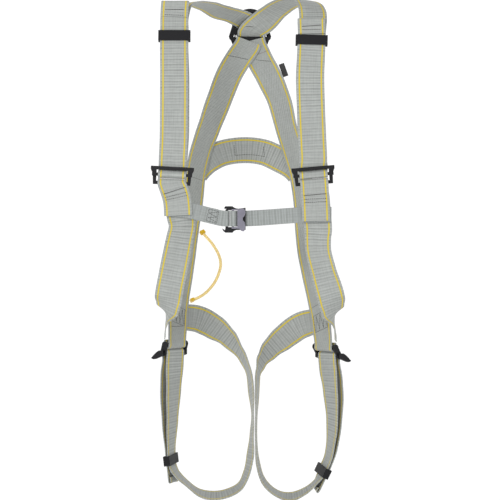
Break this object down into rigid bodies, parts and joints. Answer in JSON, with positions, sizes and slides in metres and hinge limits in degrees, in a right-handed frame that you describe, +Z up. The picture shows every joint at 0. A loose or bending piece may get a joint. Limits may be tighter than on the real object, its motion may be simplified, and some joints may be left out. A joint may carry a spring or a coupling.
{
  "type": "full body safety harness",
  "caption": "Full-body fall-arrest harness of ribbed webbing with a dorsal ring, shoulder adjusters, chest buckle, gear loop and two leg loops, hanging by its ring.",
  "frame": {"origin": "bearing point of the dorsal ring: the top of the ring's eye, in the middle of the ring's depth", "axes": "+Z up along the hanging harness, the wearer faces -Y, the wearer's right is at -X"},
  "size_m": [0.3289, 0.2477, 0.8316],
  "materials": {
    "webbing": "ribbed polyester weave with two yellow tracer lines",
    "chest_webbing": "plain ribbed polyester weave",
    "label_cloth": "matt woven tab",
    "black_plastic": "matt moulded",
    "yellow_plastic": "glossy, slightly clear",
    "clear_tube": "clear yellow tube",
    "black_steel": "black coated",
    "anodised_steel": "grey-purple satin coating"
  },
  "bodies": {
    "harness": {"dorsal_plate": "black_plastic", "shoulder_buckle_right": "black_steel", "shoulder_buckle_left": "black_steel", "shoulder_strap_right": "webbing", "shoulder_strap_left": "webbing", "front_strap_right": "webbing", "front_strap_left": "webbing", "back_strap_right": "webbing", "back_strap_left": "webbing", "back_cross_strap": "webbing", "label_tab": "label_cloth", "leg_strap_right": "webbing", "leg_strap_left": "webbing", "chest_strap_right": "chest_webbing", "chest_strap_left": "chest_webbing", "chest_buckle_frame": "black_steel", "leg_buckle_frame_right": "black_steel", "leg_buckle_frame_left": "black_steel"},
    "ring": {"dorsal_ring": "black_steel"},
    "slide_bar_right": {"slide_bar_right": "black_steel"},
    "slide_bar_left": {"slide_bar_left": "black_steel"},
    "shoulder_keeper_right": {"shoulder_keeper_right": "black_plastic"},
    "shoulder_keeper_left": {"shoulder_keeper_left": "black_plastic"},
    "leg_keeper_right": {"leg_keeper_right": "black_plastic"},
    "leg_keeper_left": {"leg_keeper_left": "black_plastic"},
    "chest_tongue": {"chest_buckle_tongue": "anodised_steel"},
    "leg_tongue_right": {"leg_buckle_tongue_right": "black_steel"},
    "leg_tongue_left": {"leg_buckle_tongue_left": "black_steel"},
    "gear_loop": {"gear_loop": "clear_tube", "gear_loop_tab_upper": "yellow_plastic", "gear_loop_tab_lower": "yellow_plastic"}
  },
  "joints": [
    {"name": "dorsal_ring_turn", "type": "hinge", "parent": "harness", "child": "ring", "pos_m": [0, 0, -0.044], "axis": [-1, 0, 0], "range_deg": [0, 140]},
    {"name": "slide_bar_right_slip", "type": "slide", "parent": "harness", "child": "slide_bar_right", "axis": [0.0523, 0, 0.9986], "range_m": [-0.001, 0.001]},
    {"name": "slide_bar_left_slip", "type": "slide", "parent": "harness", "child": "slide_bar_left", "axis": [-0.0872, 0, 0.9962], "range_m": [-0.001, 0.001]},
    {"name": "shoulder_keeper_right_slide", "type": "slide", "parent": "harness", "child": "shoulder_keeper_right", "axis": [0, 0.2288, 0.9735], "range_m": [-0.012, 0.012]},
    {"name": "shoulder_keeper_left_slide", "type": "slide", "parent": "harness", "child": "shoulder_keeper_left", "axis": [0.0292, 0.2241, 0.9741], "range_m": [-0.012, 0.001]},
    {"name": "leg_keeper_right_slide", "type": "slide", "parent": "harness", "child": "leg_keeper_right", "axis": [-0.1191, 0, 0.9929], "range_m": [-0.003, 0.004]},
    {"name": "leg_keeper_left_slide", "type": "slide", "parent": "harness", "child": "leg_keeper_left", "axis": [0.4311, 0, 0.9023], "range_m": [-0.0015, 0.006]},
    {"name": "chest_tongue_tilt", "type": "hinge", "parent": "harness", "child": "chest_tongue", "pos_m": [-0.0273, -0.2317, -0.357], "axis": [0, 0, 1], "range_deg": [-8, 0]},
    {"name": "leg_tongue_right_tilt", "type": "hinge", "parent": "harness", "child": "leg_tongue_right", "pos_m": [-0.1265, -0.1332, -0.5755], "axis": [0.6, 0.8, 0], "range_deg": [-30, 30]},
    {"name": "leg_tongue_left_tilt", "type": "hinge", "parent": "harness", "child": "leg_tongue_left", "pos_m": [0.1304, -0.1308, -0.5805], "axis": [0.6, -0.8, 0], "range_deg": [-30, 30]},
    {"name": "gear_loop_swing", "type": "hinge", "parent": "harness", "child": "gear_loop", "pos_m": [-0.0826, -0.0369, -0.3746], "axis": [-0.1293, -0.4086, -0.9035], "range_deg": [-35, 20]}
  ]
}
